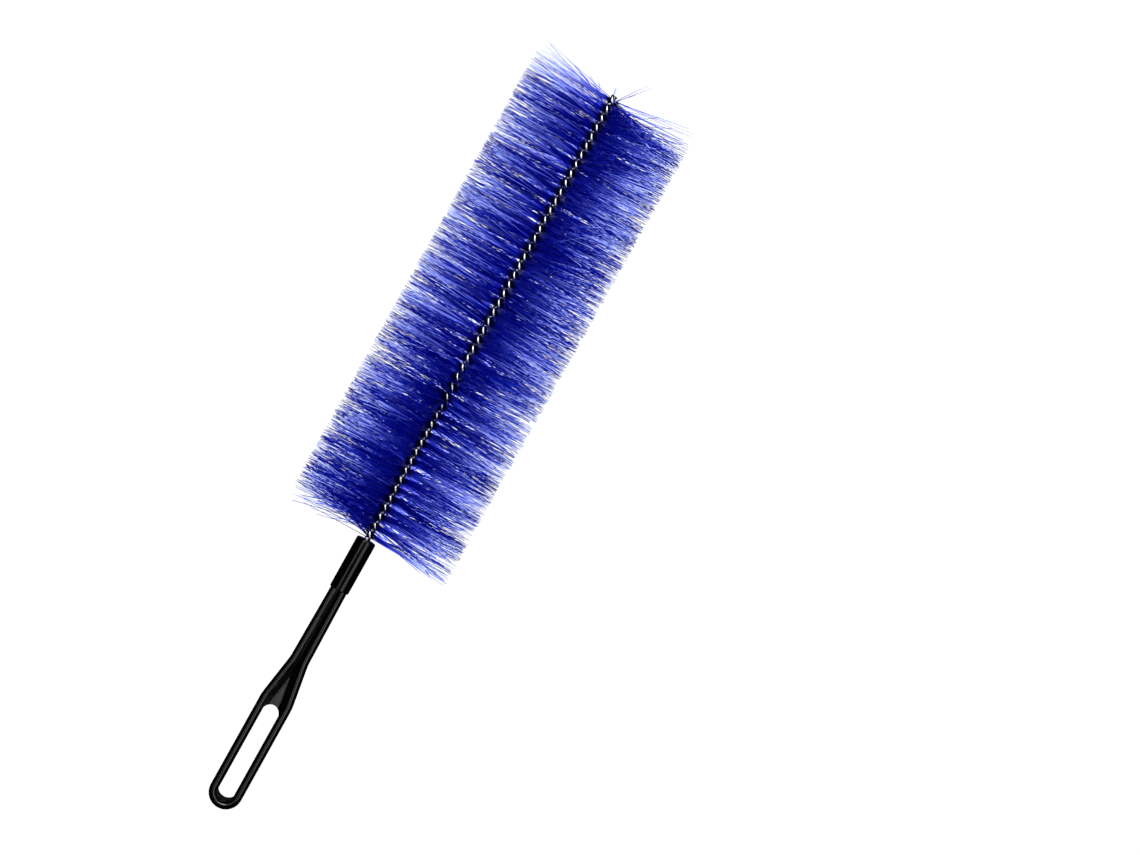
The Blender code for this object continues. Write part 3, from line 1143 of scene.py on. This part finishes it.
@dataclass
class BristleHead:
    """The filaments of the head, pinched at their middles between the wires, one piece for each turn."""

    axis: BrushAxis
    core: TwistedCore
    parting: Parting = Parting()
    underside: Underside = Underside()
    ends: HeadEnds = HeadEnds()
    tints: Tints = Tints()
    diameter: float = 0.085
    bare_at_mouth: float = 0.0008
    bare_at_tip: float = 0.0015
    turn_count: int = 24
    filaments_per_turn: int = 200
    filament_width: float = 0.00036
    filament_sides: int = 3
    tip_taper: float = 0.6
    pinch_depth: float = 0.0002
    segment_shares: tuple[float, ...] = (0.3, 0.65, 1.0)
    random_lean: float = math.radians(3.4)
    random_turn: float = math.radians(5.0)
    random_bend: float = 0.02
    lock_lean: float = math.radians(9.0)
    lock_length: float = 0.005
    lock_spread: float = 1.2
    stray_share: float = 0.06
    stray_lean: float = math.radians(9.0)
    ragged: float = 0.0016
    floor_gap: float = 0.0001
    seed: int = 7
    tint_layer: str = "tint"
    number_layer: str = "strand"

    @cached_property
    def last_root(self) -> float:
        """The place of the last filament, next to the wires' tip."""
        return self.axis.place_of(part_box("wire_a")[1].x) - self.bare_at_tip

    @property
    def turn_length(self) -> float:
        """The length of core that one piece takes."""
        return (self.last_root - self.bare_at_mouth) / self.turn_count

    def end_share(self, place: float) -> float:
        """Tells how near a place is to an end of the head.

        Args:
            place: the place along the brush.

        Returns:
            -1 at the mouth, 1 at the tip and 0 between them.
        """
        at_mouth = max(0.0, 1 - (place - self.bare_at_mouth) / self.ends.length)
        at_tip = max(0.0, 1 - (self.last_root - place) / self.ends.length)
        return at_tip - at_mouth

    def angle_at(self, place: float, side: Side, chance: random.Random) -> float:
        """Gives a strand's angle round the axis, from +Y towards +Z.

        Args:
            place: the strand's place along the brush.
            side: which of a filament's two halves it is.
            chance: the source of random numbers.

        Returns:
            The angle, with the strands on top combed to one side.
        """
        angle = self.core.twist(place) + math.pi / 2 + side.value
        way = self.parting.way_at(place)
        angle += chance.gauss(0, self.random_turn + self.underside.straying(angle, way))
        return angle + way * self.parting.combed(angle if way > 0 else math.pi - angle, way)

    def lean_at(self, place: float, angle: float, chance: random.Random) -> float:
        """Gives a strand's lean along the axis.

        Args:
            place: the strand's place along the brush.
            angle: its angle round the axis.
            chance: the source of random numbers.

        Returns:
            The angle, positive towards the tip.
        """
        lean = self.lock_lean * shared_noise(place, angle, self.lock_length, self.lock_spread)
        lean += chance.gauss(0, self.random_lean + self.underside.lean * downward(angle))
        if chance.random() < self.stray_share:
            lean += chance.gauss(0, self.stray_lean)
        lean += self.ends.lean(self.end_share(place), angle, chance)
        return self.ends.held(lean, angle, place, self.last_root, self.diameter / 2)

    def strand(self, place: float, side: Side, chance: random.Random) -> Strand:
        """Draws up one strand.

        Args:
            place: its place along the brush.
            side: which of a filament's two halves it is.
            chance: the source of random numbers.

        Returns:
            The strand, no lower than the surface that the brush lies on.
        """
        angle = self.angle_at(place, side, chance)
        lean = self.lean_at(place, angle, chance)
        end = self.end_share(place)
        under = downward(angle) ** 2
        # Painted light: downward strands and strands that lean out at the ends are drawn lighter, for light
        # shining through them.
        lighter = self.underside.tint * under
        if end * lean > 0:
            lighter = max(lighter, self.ends.tint * abs(end))
        strand = Strand(
            root=Vector((place, 0, 0)),
            outward=Vector((0, math.cos(angle), math.sin(angle))),
            lean=lean,
            bend=chance.gauss(0, self.random_bend) * (1 - abs(end)),
            swing=chance.gauss(0, self.random_bend),
            length=self.diameter / 2 - chance.random() ** 2 * self.ragged,
            taper=self.tip_taper + (self.underside.taper - self.tip_taper) * under,
            tint=self.tints.draw(place, angle, lighter, chance),
        )
        lowest = self.floor_gap - self.axis.height
        drop = strand.point(1.0).z
        if drop < lowest:
            strand.length *= lowest / drop
        return strand

    def pinched_middle(self, shape: bmesh.types.BMesh, place: float) -> list[bmesh.types.BMFace]:
        """Makes the short middle of a filament, which the wires hold.

        Args:
            shape: the turn's shape.
            place: the filament's place along the brush.

        Returns:
            The middle's two end faces, in the order of the sides.
        """
        turn = Matrix.Rotation(self.core.twist(place), 4, "X")
        corners = bmesh.ops.create_cone(
            shape,
            cap_ends=True,
            segments=self.filament_sides,
            radius1=self.filament_width / 2,
            radius2=self.filament_width / 2,
            depth=self.pinch_depth,
            matrix=Matrix.Translation((place, 0, 0)) @ turn,
        )["verts"]
        toward = turn @ Vector((0, 0, 1))
        faces = {face for corner in corners for face in corner.link_faces}
        ordered = sorted(faces, key=lambda face: -face.normal.dot(toward))
        return [ordered[0], ordered[-1]]

    def grow_strands(
        self,
        shape: bmesh.types.BMesh,
        strands: list[Strand],
        tips: list[bmesh.types.BMFace],
    ) -> None:
        """Draws each strand out from its root, joint by joint.

        Args:
            shape: the turn's shape.
            strands: the strands, in the order of their numbers.
            tips: the end faces that they grow from.
        """
        number = shape.faces.layers.int[self.number_layer]
        last = 0.0
        for share in self.segment_shares:
            tips = bmesh.ops.extrude_discrete_faces(shape, faces=tips)["faces"]
            for tip in tips:
                strand = strands[tip[number]]
                target = strand.point(share)
                middle = tip.calc_center_median()
                scale = strand.width(share) / strand.width(last)
                for corner in tip.verts:
                    corner.co = target + (corner.co - middle) * scale
            last = share

    def mark_tints(self, shape: bmesh.types.BMesh, strands: list[Strand]) -> None:
        """Writes each strand's tint on its faces, in place of its number.

        Args:
            shape: the turn's shape.
            strands: the strands, in the order of their numbers.
        """
        number = shape.faces.layers.int[self.number_layer]
        tint = shape.faces.layers.float.new(self.tint_layer)
        for face in shape.faces:
            face[tint] = strands[face[number]].tint
        shape.faces.layers.int.remove(number)

    def turn(self, index: int, chance: random.Random) -> bmesh.types.BMesh:
        """Grows one turn of filaments, each one thread from tip to tip.

        Args:
            index: the turn's number, from the mouth.
            chance: the source of random numbers.

        Returns:
            The turn's shape.
        """
        shape = bmesh.new()
        number = shape.faces.layers.int.new(self.number_layer)
        strands = []
        tips = []
        start = self.bare_at_mouth + self.turn_length * index
        for filament in range(self.filaments_per_turn):
            place = start + self.turn_length * (filament + chance.random()) / self.filaments_per_turn
            if chance.random() < self.ends.thinning * abs(self.end_share(place)):
                continue
            for tip, side in zip(self.pinched_middle(shape, place), Side):
                tip[number] = len(strands)
                strands.append(self.strand(place, side, chance))
                tips.append(tip)
        self.grow_strands(shape, strands, tips)
        self.mark_tints(shape, strands)
        return shape

    def build(self) -> list[bpy.types.Object]:
        """Grows the whole head.

        Returns:
            The pieces, from the mouth to the tip.
        """
        material = BLUE_NYLON.material(self.axis, self.diameter / 2, self.tint_layer)
        pieces = []
        for index in range(self.turn_count):
            shape = self.turn(index, random.Random(self.seed + index))
            bmesh.ops.transform(shape, matrix=self.axis.matrix(), verts=shape.verts)
            piece = link_mesh(shape, f"filaments_{index + 1:02d}", material)
            pieces.append(fit_piece(piece, f"bristle_turn_{index + 1:02d}"))
        return pieces


@dataclass(frozen=True)
class SoftBox:
    """A long soft light beside the brush's axis, which it shines on.

    Attributes:
        name: the light's name.
        tilt: its angle from straight overhead, positive towards -Y.
        middle: its middle along the brush.
        distance: its distance from the axis.
        size: its length along the brush and its width.
        radiance: how bright it looks.
        mirrored: whether glossy surfaces show it.
        yaw: how far it is turned on the upright, out of the brush's direction.
    """

    name: str
    tilt: float
    middle: float
    distance: float
    size: tuple[float, float]
    radiance: float
    mirrored: bool = True
    yaw: float = 0.0

    def build(self, axis: BrushAxis) -> None:
        """Hangs the light over the brush.

        Args:
            axis: the brush's axis.
        """
        length, width = self.size
        light = bpy.data.lights.new(self.name, "AREA")
        light.shape = "RECTANGLE"
        light.size, light.size_y = length, width
        light.energy = self.radiance * math.pi * length * width
        lamp = bpy.data.objects.new(self.name, light)
        across = -self.distance * math.sin(self.tilt)
        lamp.location = (axis.mouth + self.middle, across, axis.height + self.distance * math.cos(self.tilt))
        lamp.rotation_euler = (self.tilt, 0, self.yaw)
        lamp.visible_glossy = self.mirrored
        bpy.context.scene.collection.objects.link(lamp)


SOFT_BOXES = (
    SoftBox("narrow_strip", math.radians(-22), 0.39, 1.2, (1.5, 0.27), 1.6),
    SoftBox("wide_strip", math.radians(33), 0.39, 1.2, (1.5, 0.60), 1.75),
    SoftBox("web_panel", math.radians(-2.2), -0.18, 1.0, (0.12, 0.12), 1.6),
    SoftBox("core_panel", math.radians(-10.4), 0.60, 1.2, (0.9, 0.6), 6.0, yaw=math.radians(27)),
    SoftBox("overhead_fill", 0.0, 0.04, 1.4, (2.4, 1.6), 1.86, mirrored=False),
)


@dataclass
class Studio:
    """The floor, the lights and the camera, which looks straight down as the photograph does."""

    axis: BrushAxis
    floor_half: float = 3.0
    floor_glow: float = 1.05
    aim_place: float = 0.09155
    aim_across: float = -0.0570
    camera_height: float = 1.5
    view_width: float = 0.5301
    roll: float = math.radians(-60.82)
    sensor_width: float = 36.0

    def build_floor(self) -> None:
        """Lays a plain white floor under the brush, which glossy surfaces don't show."""
        shape = bmesh.new()
        bmesh.ops.create_grid(shape, x_segments=1, y_segments=1, size=self.floor_half)
        material, _, shader = new_material("white_floor")
        shader.inputs["Base Color"].default_value = (0, 0, 0, 1)
        shader.inputs["Specular IOR Level"].default_value = 0.0
        shader.inputs["Emission Color"].default_value = (1, 1, 1, 1)
        shader.inputs["Emission Strength"].default_value = self.floor_glow
        floor = link_mesh(shape, "floor", material)
        floor.visible_glossy = False

    def build_world(self) -> None:
        """Darkens the surroundings, which the camera alone sees as white."""
        world = bpy.data.worlds.new("surroundings")
        world.use_nodes = True
        tree = world.node_tree
        rays = add_node(tree, "ShaderNodeLightPath")
        tree.links.new(rays.outputs["Is Camera Ray"], tree.nodes["Background"].inputs["Color"])
        bpy.context.scene.world = world

    def build_camera(self) -> None:
        """Sets the camera over the brush."""
        data = bpy.data.cameras.new("camera")
        data.sensor_width = self.sensor_width
        data.lens = self.sensor_width * self.camera_height / self.view_width
        camera = bpy.data.objects.new("camera", data)
        height = self.axis.height + self.camera_height
        camera.location = (self.axis.mouth + self.aim_place, self.aim_across, height)
        camera.rotation_euler = (0, 0, self.roll)
        bpy.context.scene.collection.objects.link(camera)
        bpy.context.scene.camera = camera

    def build(self) -> None:
        """Sets up the floor, the lights, the surroundings and the camera."""
        self.build_floor()
        self.build_world()
        self.build_camera()
        for box in SOFT_BOXES:
            box.build(self.axis)
        bpy.context.scene.view_settings.view_transform = "Standard"


def main() -> None:
    """Builds the dressed brush and its studio."""
    logging.basicConfig(level=logging.INFO, format="%(name)s: %(message)s")
    axis = BrushAxis.from_frame()
    LoopHandle(axis).build()
    Sleeve(axis).build()
    core = TwistedCore(axis)
    core.build()
    BristleHead(axis, core).build()
    Studio(axis).build()


if __name__ == "__main__":
    main()
